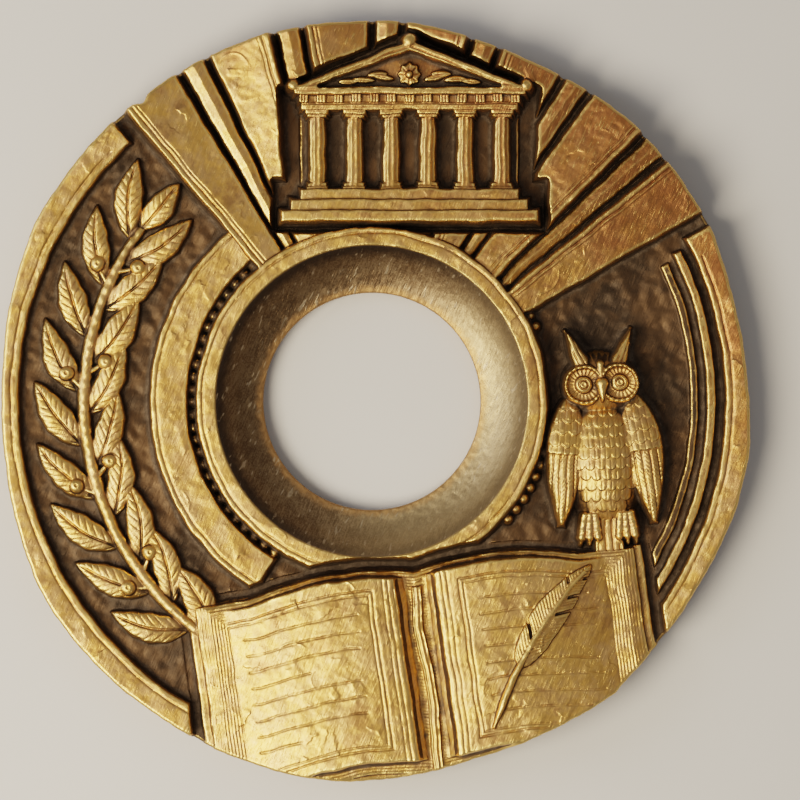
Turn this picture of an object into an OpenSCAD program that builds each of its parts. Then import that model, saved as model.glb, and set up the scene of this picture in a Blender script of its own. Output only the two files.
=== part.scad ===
// Academic medallion: a cast bronze disc with a round hole through its middle,
// a dished mouth round the hole and a bold relief that runs off the rim.
// It is one casting. Units are millimetres. The origin is the centre of the hole
// on the flat back, +Z out of the relief and +Y towards its top.

/* [Disc] */
// Radius of the disc before its edge is trimmed
disc_r = 40.5; // [40:0.1:41]
// How deep the soft flats are cut into the round edge, as a factor
flat_depth = 1; // [0.5:0.05:1.2]
// Height of the lowest sunk ground above the back
ground_z = 2.8; // [2.5:0.1:3]
// Height of the lip at the rim
lip_z = 4.6; // [4.3:0.1:5]
// Inner radius of the lip at the rim
lip_r = 37.5; // [37:0.1:38.2]

/* [Middle] */
// Radius of the hole
bore_r = 11.6; // [11:0.1:12]
// Radius at which the arc of the dished mouth is centred
mouth_mid_r = 10.03; // [10:0.01:10.1]
// Height at which the arc of the dished mouth is centred
mouth_mid_z = 8.9; // [8.8:0.05:9]
// Radius of the arc of the dished mouth
mouth_arc = 7.17; // [7.1:0.01:7.25]
// Outer radius of the collar round the mouth
collar_r = 18.5; // [18.3:0.1:18.7]
// Height of the collar
collar_z = 5.9; // [5.6:0.1:6.1]
// Inner radius of the broad band beside the collar
band_r0 = 19.6; // [19.4:0.1:19.8]
// Outer radius of the broad band
band_r1 = 23.4; // [23:0.1:24]
// Height of the broad band
band_z = 5.2; // [4.9:0.1:5.4]

/* [Rays] */
// How many broad rays there are, with a narrow one between each two
ray_count = 7; // [6:1:7]
// Angle from one broad ray to the next, degrees
ray_pitch = 15.2; // [14.8:0.1:15.4]
// Width of a broad ray, degrees
ray_wide = 9; // [8:0.1:9.4]
// Width of a narrow ray, degrees
ray_thin = 3.4; // [3:0.1:3.6]
// Height of the middle line of a broad ray
ray_z = 5.5; // [5.2:0.1:5.8]
// Slope across a broad ray, degrees
ray_slope = 10; // [6:1:11]

/* [Temple] */
// Where the temple's middle stands along X
temple_x = 4; // [3:0.5:5]
// Lowest edge of the steps
steps_y = 19; // [18.9:0.1:19.2]
// Depth of one step
step_d = 1.15; // [1.1:0.05:1.2]
// Length of the lowest step
steps_w = 27; // [26.6:0.2:27.4]
// How many columns there are
column_count = 6; // [4:2:6]
// Distance from column to column
column_pitch = 3.9; // [3.7:0.05:3.9]
// Diameter of a column
column_d = 1.9; // [1.7:0.05:2]
// Foot of the columns
column_y0 = 22.45; // [22.45:0.05:22.6]
// Top of the columns
column_y1 = 30.8; // [30.6:0.1:30.8]
// Height of the pediment above its base line
gable_h = 5; // [4.6:0.1:5]

/* [Laurel] */
// Radius of the laurel's stem line
stem_r = 30.5; // [30.2:0.1:30.8]
// Radius of the stem itself
stem_t = 0.8; // [0.7:0.05:0.9]
// How many pairs of leaves there are
leaf_pairs = 9; // [7:1:9]
// Length of a leaf
leaf_l = 8.6; // [8:0.1:9]
// Half width of a leaf
leaf_w = 1.55; // [1.4:0.05:1.7]
// Height of a leaf's ridge above the ground
leaf_h = 1.6; // [1.4:0.05:1.8]
// Angle between a leaf and the stem, degrees
leaf_turn = 31; // [28:1:33]
// Radius of a berry
berry_r = 0.9; // [0.8:0.05:1]

/* [Owl] */
// Size of the owl as a factor
owl_size = 1.1; // [1:0.02:1.12]
// Place of the owl's feet, along X
owl_x = 25; // [24.6:0.1:25.4]
// Place of the owl's feet, along Y
owl_y = -12.6; // [-12.8:0.1:-12.4]

/* [Book] */
// Turn of the book, degrees
book_turn = 8; // [6:1:9]
// Top of the book's spine, along X
book_x = 4.5; // [4:0.1:5]
// Top of the book's spine, along Y
book_y = -18.7; // [-19:0.1:-18.7]
// Width of a page
page_w = 22; // [21:0.5:22]
// Height of a page
page_h = 19.5; // [19:0.1:20]
// Height of the crest of a page above the back
page_z = 6.7; // [6.4:0.1:6.8]
// Radius of the curve of a page
page_curve = 50; // [46:1:60]
// Length of the quill's feather on the right page
quill_l = 13; // [12:0.5:13]
// Half width of the feather
quill_w = 1.7; // [1.5:0.1:1.8]

/* [Hidden] */
$fn = 72;
root_z = 1;        // relief pieces are rooted inside the disc at this height
far_r = 43;        // reach past the rim before the edge is trimmed
top_z = 9;         // above everything
book_gap = 1;      // width of the sunk line round the book
temple_gap = 0.8;  // width of the sunk line round the temple

// Soft flats of the outline: [direction, depth, radius of the flat]
FLAT_DIR = 0; FLAT_DEPTH = 1; FLAT_R = 2;
FLATS = [[180, 1.1, 52], [290, 0.9, 55], [66, 0.6, 58], [10, 0.6, 58], [325, 0.7, 60]];

function pol(r, a) = [r * cos(a), r * sin(a)];
// Where a page's top or bottom edge lies, u from the spine
function page_edge(u) = 1.1 * sin(180 * min(abs(u) / page_w * 1.25, 1)) - 0.03 * abs(u);

// Outline of the disc as a prism
module outline() {
  intersection() {
    cylinder(r = disc_r, h = top_z);
    intersection_for (f = FLATS)
      translate(concat(pol(disc_r - f[FLAT_DEPTH] * flat_depth - f[FLAT_R], f[FLAT_DIR]), [-1]))
        cylinder(r = f[FLAT_R], h = top_z + 2);
  }
}

// Ring sector between two radii, angles and heights
module sector(r0, r1, a0, a1, z0, z1) {
  rotate([0, 0, a0])
    rotate_extrude(angle = a1 - a0)
      translate([r0, z0]) square([r1 - r0, z1 - z0]);
}

// Leaf along X with a ridge, its base and tip on z = 0 and its root below:
// two spheres that cross
module leaf(len, half_w, h, root = 0.35) {
  q = len * len / 4;
  rho = (q / h + h) / 2;
  c = rho - h;
  d = (q - half_w * half_w) / (2 * half_w);
  intersection() {
    translate([0, d, -c]) sphere(r = sqrt(rho * rho + d * d));
    translate([0, -d, -c]) sphere(r = sqrt(rho * rho + d * d));
    translate([-len, -len, -root]) cube([2 * len, 2 * len, 6]);
  }
}

module ground() {
  color("sienna") cylinder(r = far_r, h = ground_z);
}

// Lip at the rim, beside the laurel and beside the owl, lower below the book
module lip() {
  color("peru") {
    sector(lip_r, far_r, 133, 249.5, root_z, lip_z);
    sector(lip_r + 0.3, far_r, 249, 315, root_z, lip_z - 0.9);
    sector(lip_r, far_r, 314, 387.5, root_z, lip_z);
    // Low mouldings behind the owl
    sector(35.6, 36.5, 316, 386, root_z, ground_z + 1.1);
    sector(33.9, 34.7, 318, 385, root_z, ground_z + 0.6);
  }
}

// Collar round the mouth and the broad band on the left
module collar() {
  color("peru") difference() {
    union() {
      cylinder(r = collar_r, h = collar_z);
      sector(band_r0, band_r1, 128, 238.5, root_z, band_z);
    }
    book_room();
  }
}

// One ray: a wedge with a sloping top
module ray(mid, wide, z, slope) {
  a0 = mid - wide / 2;
  a1 = mid + wide / 2;
  intersection() {
    translate([0, 0, root_z]) linear_extrude(height = top_z)
      polygon([pol(17.6, a0), pol(far_r, a0), pol(far_r, a1), pol(17.6, a1)]);
    rotate([0, 0, mid]) translate([0, 0, z]) rotate([slope, 0, 0])
      translate([10, -20, -12]) cube([40, 40, 12]);
  }
}

module rays() {
  first = 80 - ray_pitch * (ray_count - 1) / 2;
  color("goldenrod") difference() {
    union() {
      for (i = [0 : ray_count - 1])
        ray(first + i * ray_pitch, ray_wide, ray_z, i % 2 == 0 ? ray_slope : -ray_slope);
      for (i = [0 : ray_count - 2])
        ray(first + (i + 0.5) * ray_pitch, ray_thin, ray_z - 0.6, 0);
    }
    temple_room();
  }
}

gable_w = steps_w / 2 - 1.3;

// The temple's outline with the sunk line round it
module temple_room() {
  g = temple_gap;
  translate([temple_x, 0, ground_z]) linear_extrude(height = top_z)
    polygon([
      [-steps_w / 2 - g, steps_y - g], [steps_w / 2 + g, steps_y - g],
      [steps_w / 2 + g, column_y0 + g], [gable_w + g, column_y0 + g],
      [gable_w + g + 0.6, column_y1 + 2.2], [0, column_y1 + 2.2 + gable_h + g * 1.4],
      [-gable_w - g - 0.6, column_y1 + 2.2], [-gable_w - g, column_y0 + g],
      [-steps_w / 2 - g, column_y0 + g]]);
}

module temple() {
  base_y = column_y1 + 2.2;
  color("darkgoldenrod") translate([temple_x, 0, 0]) {
    // Steps
    for (s = [0 : 2])
      translate([-steps_w / 2 + s, steps_y + s * step_d, root_z])
        cube([steps_w - 2 * s, step_d + 0.1, 6.6 - 0.4 * s - root_z]);
    // Wall behind the columns
    translate([-gable_w + 0.6, column_y0 - 0.3, root_z])
      cube([2 * gable_w - 1.2, column_y1 - column_y0 + 0.6, 3.3 - root_z]);
    // Columns with a base and a capital each
    for (i = [0 : column_count - 1])
      translate([(i - (column_count - 1) / 2) * column_pitch, 0, 0]) {
        translate([0, column_y0 - 0.2, 4.6]) rotate([-90, 0, 0])
          cylinder(d = column_d, h = column_y1 - column_y0 + 0.4);
        translate([-1.15, column_y0 - 0.2, root_z]) cube([2.3, 0.8, 5.5 - root_z]);
        translate([-1.15, column_y1 - 0.7, root_z]) cube([2.3, 0.9, 5.7 - root_z]);
      }
    // Beam in three steps
    translate([-gable_w + 0.8, column_y1, root_z]) cube([2 * gable_w - 1.6, 0.9, 5.9 - root_z]);
    translate([-gable_w + 0.5, column_y1 + 0.8, root_z]) cube([2 * gable_w - 1, 0.8, 6.2 - root_z]);
    translate([-gable_w, column_y1 + 1.5, root_z]) cube([2 * gable_w, 0.8, 6.5 - root_z]);
    // Gable with a sunk field
    difference() {
      translate([0, 0, root_z]) linear_extrude(height = 6.6 - root_z)
        polygon([[-gable_w - 0.3, base_y], [gable_w + 0.3, base_y], [0, base_y + gable_h]]);
      translate([0, 0, 5]) linear_extrude(height = top_z)
        polygon([[-gable_w + 2.7, base_y + 0.3], [gable_w - 2.7, base_y + 0.3], [0, base_y + gable_h - 1.15]]);
    }
    // Boss in the field
    translate([0, base_y + 1.6, root_z]) cylinder(r = 1.1, h = 6 - root_z);
    // Knobs on the gable's top and ends
    translate([0, base_y + gable_h, 6.1]) sphere(r = 0.75);
    for (s = [-1, 1]) translate([s * (gable_w + 0.1), base_y + 0.3, 6.1]) sphere(r = 0.62);
  }
}

module laurel() {
  a_root = 236;
  a_tip = 140;
  a_end = a_tip + 3;   // where the stem ends and its last leaf begins
  da = (a_root - a_tip) / leaf_pairs;
  color("goldenrod") {
    // Stem
    rotate([0, 0, a_end]) rotate_extrude(angle = a_root + 2 - a_end)
      translate([stem_r, ground_z + 0.3]) circle(r = stem_t);
    // Leaves in pairs, and one at the tip
    for (i = [0 : leaf_pairs - 1]) for (side = [-1, 1]) {
      a = a_root - (i + 0.25 + 0.22 * side) * da;
      translate(concat(pol(stem_r, a), [ground_z]))
        rotate([0, 0, a - 90 + side * leaf_turn])
          translate([leaf_l / 2, side * 0.5, 0]) leaf(leaf_l, leaf_w, leaf_h);
    }
    translate(concat(pol(stem_r, a_end), [ground_z]))
      rotate([0, 0, a_end - 94]) translate([leaf_l * 0.375 - 0.3, 0, 0]) leaf(leaf_l * 0.75, leaf_w, leaf_h);
    // Berries
    for (i = [1 : 2 : leaf_pairs - 1]) {
      a = a_root - (i + 0.75) * da;
      translate(concat(pol(stem_r + 2.0, a), [ground_z + 0.4])) sphere(r = berry_r);
      translate(concat(pol(stem_r - 2.0, a - 0.3 * da), [ground_z + 0.4])) sphere(r = berry_r);
    }
  }
}

module owl() {
  color("gold") translate([owl_x, owl_y, ground_z]) rotate([0, 0, 3]) scale(owl_size) {
    // Body, a spindle that lies along Y
    translate([0, 6, -0.6]) rotate([-90, 0, 0]) rotate_extrude() intersection() {
      translate([-3.88, 0]) circle(r = 8.18);
      translate([0, -20]) square([20, 40]);
    }
    translate([0, 13, 0.1]) sphere(r = 3.9);
    // Face: a ring and an eye on each side, and the beak between
    for (s = [-1, 1]) {
      translate([s * 1.75, 13.3, 3.35]) rotate_extrude() translate([1.45, 0]) circle(r = 0.45);
      translate([s * 1.7, 13.3, 3.15]) sphere(r = 0.9);
      translate([s * 2.5, 15.9, 1.6]) rotate([0, 0, 90 - s * 22]) leaf(4.4, 0.9, 1.4, 2.2);
      // Folded wings
      translate([s * 3.75, 5.9, 0.9]) rotate([0, 0, 90 + s * 7]) leaf(12, 1.75, 2.2, 1.5);
      // Feet
      for (t = [-0.75, 0, 0.75])
        translate([s * 1.9 + t, -1.6, 1.4]) rotate([-90, 0, 0]) cylinder(r = 0.42, h = 2.4);
    }
    translate([0, 12.0, 3.3]) rotate([0, 0, 90]) leaf(2.8, 0.6, 1.0, 0.8);
    // Tail
    translate([-1.3, -3.2, root_z - ground_z]) cube([2.6, 4, 3.2]);
  }
}

// A page's footprint from the spine to its outer edge, grown by g
module leaf_face(side, g) {
  n = 10;
  top = [for (i = [0 : n]) let (u = i / n * page_w) [side * (u + (i == n ? g : 0)), page_edge(u) + min(g, 0.9)]];
  low = [for (i = [n : -1 : 0]) let (u = i / n * page_w) [side * (u + (i == n ? g : 0)), page_edge(u) - page_h - g]];
  polygon(concat([[side * -0.2, top[0][1]]], top, low, [[side * -0.2, low[n][1]]]));
}

module book_place() {
  translate([book_x, book_y, 0]) rotate([0, 0, book_turn]) children();
}

// Room for the book in what lies round it
module book_room() {
  book_place() translate([0, 0, ground_z]) linear_extrude(height = top_z) {
    leaf_face(1, 2.3 + book_gap);
    leaf_face(-1, 2.3 + book_gap);
  }
}

module book() {
  color("khaki") book_place() {
    for (side = [-1, 1]) {
      // Cover, stack of pages, and the curved page on top
      translate([0, 0, root_z]) linear_extrude(height = 3.9 - root_z) leaf_face(side, 2.3);
      translate([0, 0, root_z]) linear_extrude(height = 4.7 - root_z) leaf_face(side, 1.4);
      difference() {
        intersection() {
          translate([0, 0, root_z]) linear_extrude(height = top_z) leaf_face(side, 0);
          translate([side * 7, 10, page_z - page_curve]) rotate([90, 0, 0])
            cylinder(r = page_curve, h = 60);
        }
        translate([0, 10, 7.0]) rotate([90, 0, 0]) cylinder(r = 2.2, h = 60);
      }
    }
    // Ribbon along the fold
    translate([-0.45, -page_h - 1.2, root_z]) cube([0.9, page_h - 2, 5.3 - root_z]);
    quill();
  }
}

// Quill across the right page: a feather and a bare shaft that ends in a nib
module quill() {
  translate([12.6, -7.4, page_z - 0.75]) rotate([0, 3, 52]) {
    translate([2.2, 0, 0]) leaf(quill_l, quill_w, 1.3, 1.2);
    translate([-9.5, 0, 0.1]) rotate([0, 90, 0]) cylinder(r = 0.42, h = 15);
    translate([-11.3, 0, 0.1]) rotate([0, 90, 0]) cylinder(r1 = 0.12, r2 = 0.42, h = 1.8);
  }
}

module mouth() {
  rotate_extrude() translate([mouth_mid_r, mouth_mid_z]) circle(r = mouth_arc);
  translate([0, 0, -1]) cylinder(r = bore_r, h = top_z + 2);
}

// Small nick filed into the edge at the upper left
module nick() {
  translate(concat(pol(disc_r + 0.9, 127.4), [-1])) cylinder(r = 1.5, h = top_z + 2);
}

module medal() {
  difference() {
    intersection() {
      union() {
        ground();
        lip();
        collar();
        rays();
        temple();
        laurel();
        owl();
        book();
      }
      outline();
    }
    color("saddlebrown") mouth();
    nick();
  }
}

medal();
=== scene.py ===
import bmesh
import bpy
from mathutils import Matrix, Vector

import math
import numpy as np


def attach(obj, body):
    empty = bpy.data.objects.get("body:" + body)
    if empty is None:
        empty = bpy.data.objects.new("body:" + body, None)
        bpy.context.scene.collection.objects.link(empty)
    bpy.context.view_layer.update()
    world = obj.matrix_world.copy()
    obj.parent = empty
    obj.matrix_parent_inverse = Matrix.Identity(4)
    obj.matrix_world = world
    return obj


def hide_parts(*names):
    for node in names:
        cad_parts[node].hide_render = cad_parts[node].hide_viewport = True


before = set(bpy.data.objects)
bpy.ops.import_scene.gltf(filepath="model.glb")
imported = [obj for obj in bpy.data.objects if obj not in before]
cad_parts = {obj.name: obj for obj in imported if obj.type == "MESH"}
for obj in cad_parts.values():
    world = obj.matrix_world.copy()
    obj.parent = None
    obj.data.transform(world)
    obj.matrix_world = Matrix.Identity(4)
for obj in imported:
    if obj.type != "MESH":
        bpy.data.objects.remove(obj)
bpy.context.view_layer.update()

STEP = 0.035
NS = 2400
HALF = (NS - 1) * STEP / 2
ROW = np.linspace(-HALF, HALF, NS, dtype=np.float32)
X0, Y0 = np.meshgrid(ROW, ROW)          # rows run along Y, columns along X
KY = np.fft.fftfreq(NS, STEP)[:, None].astype(np.float32)
KX = np.fft.rfftfreq(NS, STEP)[None, :].astype(np.float32)
GROUND = 2.8


def noise(seed, short, long, angle=None, stretch=1.0):
    """Smooth noise of unit spread, with waves from short to long mm, drawn out along an angle."""
    w = np.random.default_rng(seed).standard_normal((NS, NS)).astype(np.float32)
    if angle is None:
        k2 = KX * KX + KY * KY
    else:
        c, s = math.cos(math.radians(angle)), math.sin(math.radians(angle))
        k2 = ((KX * c + KY * s) * stretch) ** 2 + (KY * c - KX * s) ** 2
    band = np.exp(-k2 * short * short) * (1 - np.exp(-k2 * long * long))
    g = np.fft.irfft2(np.fft.rfft2(w) * band, s=(NS, NS)).astype(np.float32)
    return g / g.std()


def blur(a, sigma):
    k2 = KX * KX + KY * KY
    return np.fft.irfft2(np.fft.rfft2(a) * np.exp(-2 * (math.pi * sigma) ** 2 * k2), s=(NS, NS)).astype(np.float32)


def smooth(a, lo, hi):
    t = np.clip((a - lo) / (hi - lo), 0, 1)
    return t * t * (3 - 2 * t)


def smax(a, b, k=0.15):
    return np.maximum(a, b) + np.maximum(k - np.abs(a - b), 0) ** 2 / (4 * k)


def smin(a, b, k=0.15):
    return np.minimum(a, b) - np.maximum(k - np.abs(a - b), 0) ** 2 / (4 * k)


# Hand-cut lines are never quite straight: every coordinate wanders a little.
WX = X0 + 0.04 * noise(11, 3.5, 14) + 0.006 * noise(14, 0.5, 1.6)
WY = Y0 + 0.04 * noise(12, 3.5, 14) + 0.006 * noise(15, 0.5, 1.6)
RAD = np.hypot(WX, WY)
ANG = np.degrees(np.arctan2(WY, WX)) % 360
R_TRUE = np.hypot(X0, Y0)


def window(x0, x1, y0, y1):
    i = [int(np.clip(round((v + HALF) / STEP), 0, NS)) for v in (x0, x1, y0, y1)]
    return (slice(i[2], i[3] + 1), slice(i[0], i[1] + 1))


def local(w, cx, cy, deg=0.0, s=1.0):
    """Coordinates of a window in a frame at (cx, cy) turned by deg and scaled by s."""
    c, n = math.cos(math.radians(deg)), math.sin(math.radians(deg))
    dx, dy = WX[w] - cx, WY[w] - cy
    return (dx * c + dy * n) / s, (dy * c - dx * n) / s


def plateau(sd, z, rr=0.13, wall=6.0):
    """Height of a flat-topped piece with rounded edges; sd is negative inside it."""
    q = np.clip(sd + rr, 0, rr)
    top = z - (rr - np.sqrt(np.maximum(rr * rr - q * q, 0)))
    return np.where(sd > 0, z - rr - wall * sd, top)


def sd_box(x, y, cx, cy, hx, hy):
    return np.maximum(np.abs(x - cx) - hx, np.abs(y - cy) - hy)


def sd_poly(x, y, pts):
    d = np.full(x.shape, 1e9, np.float32)
    inside = np.zeros(x.shape, bool)
    for (ax, ay), (bx, by) in zip(pts, pts[1:] + pts[:1]):
        ex, ey = bx - ax, by - ay
        t = np.clip(((x - ax) * ex + (y - ay) * ey) / (ex * ex + ey * ey), 0, 1)
        d = np.minimum(d, (x - ax - ex * t) ** 2 + (y - ay - ey * t) ** 2)
        if ey:
            inside ^= ((ay <= y) != (by <= y)) & (x < ax + (y - ay) * ex / ey)
    d = np.sqrt(d)
    return np.where(inside, -d, d)


def sd_sector(r0, r1, a0, a1):
    mid, half = (a0 + a1) / 2, (a1 - a0) / 2
    da = np.clip(np.abs((ANG - mid + 180) % 360 - 180) - half, -90, 90)
    return np.maximum(np.maximum(r0 - RAD, RAD - r1), RAD * np.sin(np.radians(da)))


def sd_line(x, y, ax, ay, bx, by):
    """Distance from a segment, and how far along it, 0 to 1."""
    ex, ey = bx - ax, by - ay
    t = np.clip(((x - ax) * ex + (y - ay) * ey) / (ex * ex + ey * ey), 0, 1)
    return np.hypot(x - ax - ex * t, y - ay - ey * t), t


def pw(a, p):
    return np.maximum(a, 0) ** p


def groove(d, deep, wide):
    return -deep * np.exp(-(d / wide) ** 2)


def ridged(v, pitch, wide):
    """1 on lines that repeat at a pitch, 0 between them."""
    return np.exp(-((np.abs(v / pitch % 1 - 0.5)) / wide) ** 2)


H = GROUND + 0.05 * noise(13, 1.6, 9)
LAYERS = []                               # (name, heights) from the lowest up


def add(w, f, k=0.15):
    H[w] = smax(H[w], f, k)


ALL = (slice(None), slice(None))

# --- lip at the rim, and the low mouldings behind the owl
add(ALL, plateau(sd_sector(37.5, 50, 133, 249.5), 4.6 + 0.08 * (RAD - 39), 0.16))
add(ALL, plateau(sd_sector(37.8, 50, 249, 315), 3.75, 0.15))
add(ALL, plateau(sd_sector(37.5, 50, 314, 387.5), 4.6 + 0.08 * (RAD - 39), 0.16))
add(ALL, plateau(sd_sector(35.6, 36.5, 316, 386), 3.9, 0.14))
add(ALL, plateau(sd_sector(33.9, 34.7, 318, 385), 3.4, 0.14))
# fine line cut into the lip
for a0, a1 in ((136, 246), (318, 384)):
    H += groove(RAD - 38.25, 0.15, 0.10) * smooth(-sd_sector(37.6, 50, a0, a1), 0, 0.3)

# --- collar round the mouth, the broad band, and the beads between them
add(ALL, plateau(RAD - 18.5, 5.9 - 0.03 * (RAD - 17.3) ** 2, 0.15))
H += groove(RAD - 17.85, 0.15, 0.10)
add(ALL, plateau(sd_sector(19.6, 23.4, 128, 238.5), 5.2 + 0.03 * (RAD - 21.5), 0.15))
H += groove(RAD - 22.75, 0.14, 0.10) * smooth(-sd_sector(19.6, 23.4, 129, 238), 0, 0.3)
n_bead = 88
for i in range(n_bead):
    a = 360 * i / n_bead
    if 60 < a < 127 or 240 < a < 318 or a > 352 or a < 24:
        continue
    x, y = 19.05 * math.cos(math.radians(a)), 19.05 * math.sin(math.radians(a))
    w = window(x - 0.7, x + 0.7, y - 0.7, y + 0.7)
    u, v = local(w, x, y)
    add(w, 3.75 + np.sqrt(np.maximum(0.52 ** 2 - u * u - v * v, 0)) * 1.2 - 4 * np.maximum(np.hypot(u, v) - 0.52, 0), 0.06)
DISC = H.copy()

# --- rays behind the temple
for i in range(13):
    mid = 80 - 15.2 * 3 + 7.6 * i
    broad = i % 2 == 0
    da = np.radians((ANG - mid + 180) % 360 - 180)
    s = RAD * np.sin(np.clip(da, -1, 1))
    s = np.where(np.abs(da) > 1, 50, s)
    hw = RAD * math.sin(math.radians(4.5 if broad else 1.7))
    sd = np.maximum(np.abs(s) - hw, 17.6 - RAD)
    if broad:
        sign = 1 if (i // 2) % 2 == 0 else -1
        z = 5.5 + sign * math.tan(math.radians(10)) * s + 0.05 * (s / hw) ** 2
        z = z + groove(s * sign - (hw - 0.62), 0.17, 0.10) + groove(s * sign - (hw - 1.05), 0.1, 0.08)
        f = plateau(sd, z, 0.14)
    else:
        f = plateau(sd, 4.75 + 0.3 * np.clip(1 - np.abs(s) / hw, 0, 1), 0.1)
    H = smax(H, f, 0.12)

# --- sunk line round the temple and round the book
T_X = 4.0
GW, S_W = 12.2, 27.0
w_t = window(-16, 22, 16.5, 40.8)
x, y = local(w_t, T_X, 0)
g = 0.8
t_room = sd_poly(x, y, [(-S_W / 2 - g, 19 - g), (S_W / 2 + g, 19 - g), (S_W / 2 + g, 23.25), (GW + g, 23.25), (GW + g + 0.6, 33), (0, 39.1), (-GW - g - 0.6, 33), (-GW - g, 23.25), (-S_W / 2 - g, 23.25)])


def page_edge(u):
    return 1.1 * np.sin(np.pi * np.minimum(np.abs(u) / 22 * 1.25, 1)) - 0.03 * np.abs(u)


w_b = window(-24, 36, -42, -9)
u, v = local(w_b, 4.5, -18.7, 8)
e = page_edge(u)
au = np.abs(u)
b_room = np.maximum(np.maximum(au - 25.3, v - e - 1.7), e - 22.8 - v)
for F in (DISC, H):
    F[w_t] = np.where(R_TRUE[w_t] > 18.5, smin(F[w_t], GROUND - 0.1 + 6 * np.maximum(t_room, 0), 0.12), F[w_t])
    F[w_b] = smin(F[w_b], GROUND - 0.1 + 6 * np.maximum(b_room, 0), 0.12)
LAYERS += [("disc", DISC), ("rays", H.copy())]


# --- temple
def rect(cx, cy, hx, hy, z, rr=0.1):
    add(w_t, plateau(sd_box(x, y, cx, cy, hx, hy), z, rr, 7.0), 0.08)


for s in range(3):
    rect(0, 19.0 + 1.15 * s + 0.58, S_W / 2 - s, 0.58, 6.6 - 0.4 * s)
rect(0, 26.6, GW - 0.6, 4.4, 3.3)
for i in range(6):
    cx = (i - 2.5) * 3.9
    dx = x - cx
    t = np.clip((y - 22.4) / 8.4, 0, 1)
    r = 0.97 - 0.13 * t ** 1.5
    q = np.clip(dx / r, -1, 1)
    shaft = 4.6 + r * np.sqrt(1 - q * q) - 0.12 * np.abs(np.cos(np.arcsin(q) * 5))
    shaft = np.where(np.abs(dx) > r, 4.6 - 8 * (np.abs(dx) - r), shaft)
    shaft = np.where((y > 22.3) & (y < 31), shaft, 0)
    add(w_t, shaft, 0.06)
    rect(cx, 22.55, 1.15, 0.2, 5.55, 0.08)
    rect(cx, 22.95, 1.05, 0.2, 5.4, 0.12)
    rect(cx, 30.2, 1.0, 0.18, 5.5, 0.1)
    rect(cx, 30.6, 1.18, 0.24, 5.75, 0.08)
rect(0, 31.2, GW - 0.8, 0.4, 5.9, 0.08)
rect(0, 31.25, GW - 0.8, 0.12, 5.98, 0.05)
rect(0, 32.0, GW - 0.6, 0.42, 5.8, 0.08)
for i in range(13):
    cx = (i - 6) * 1.86
    rect(cx, 32.0, 0.48, 0.42, 6.2, 0.06)
    for d in (-0.17, 0.17):
        H[w_t] += groove(x - cx - d, 0.16, 0.06) * smooth(0.4 - np.abs(y - 32.0), 0, 0.08)
rect(0, 32.75, GW, 0.34, 6.5, 0.1)
tri = sd_poly(x, y, [(-GW - 0.3, 33), (GW + 0.3, 33), (0, 38)])
add(w_t, plateau(tri, 6.6, 0.12, 7.0), 0.08)
H[w_t] += groove(tri + 0.48, 0.14, 0.08)
field = sd_poly(x, y, [(-GW + 2.7, 33.3), (GW - 2.7, 33.3), (0, 36.85)])
H[w_t] = smin(H[w_t], 5.0 + 7 * np.maximum(field, 0), 0.08)
# rosette and two sprays in the gable
q = np.hypot(x, y - 34.6)
th = np.arctan2(y - 34.6, x)
add(w_t, plateau(q - 1.12 - 0.1 * np.cos(8 * th), 5.8 - 0.12 * q, 0.1), 0.06)
H[w_t] += -0.16 * np.exp(-((np.sin(4 * th)) / 0.25) ** 2) * ((q < 1.15) & (q > 0.4))
add(w_t, 5.85 + np.sqrt(np.maximum(0.16 - q * q, 0)) - 4 * np.maximum(q - 0.4, 0), 0.05)
for side in (-1, 1):
    for k, (px, py, ang, ln) in enumerate(((1.6, 34.0, 12, 2.6), (3.6, 33.85, 4, 2.6), (2.3, 34.7, -6, 2.2), (5.4, 33.8, -2, 2.2))):
        xs = side * x
        c, n = math.cos(math.radians(ang)), math.sin(math.radians(ang))
        a = (xs - px) * c + (y - py) * n
        b = (y - py) * c - (xs - px) * n
        t = np.clip(a / ln, 0, 1)
        wd = 0.42 * pw(np.sin(np.pi * t), 0.7) + 1e-3
        f = 5.2 + 0.4 * np.sqrt(np.maximum(1 - (b / wd) ** 2, 0)) + groove(b, 0.12, 0.06)
        add(w_t, np.where((np.abs(b) < wd) & (a > 0) & (a < ln), f, 0), 0.04)
# knobs on the gable
for px, py, r in ((0, 38.0, 0.75), (-GW - 0.1, 33.3, 0.62), (GW + 0.1, 33.3, 0.62)):
    q = np.hypot(x - px, y - py)
    add(w_t, 6.1 + np.sqrt(np.maximum(r * r - q * q, 0)) - 6 * np.maximum(q - r, 0), 0.08)
LAYERS.append(("temple", H.copy()))


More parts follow.
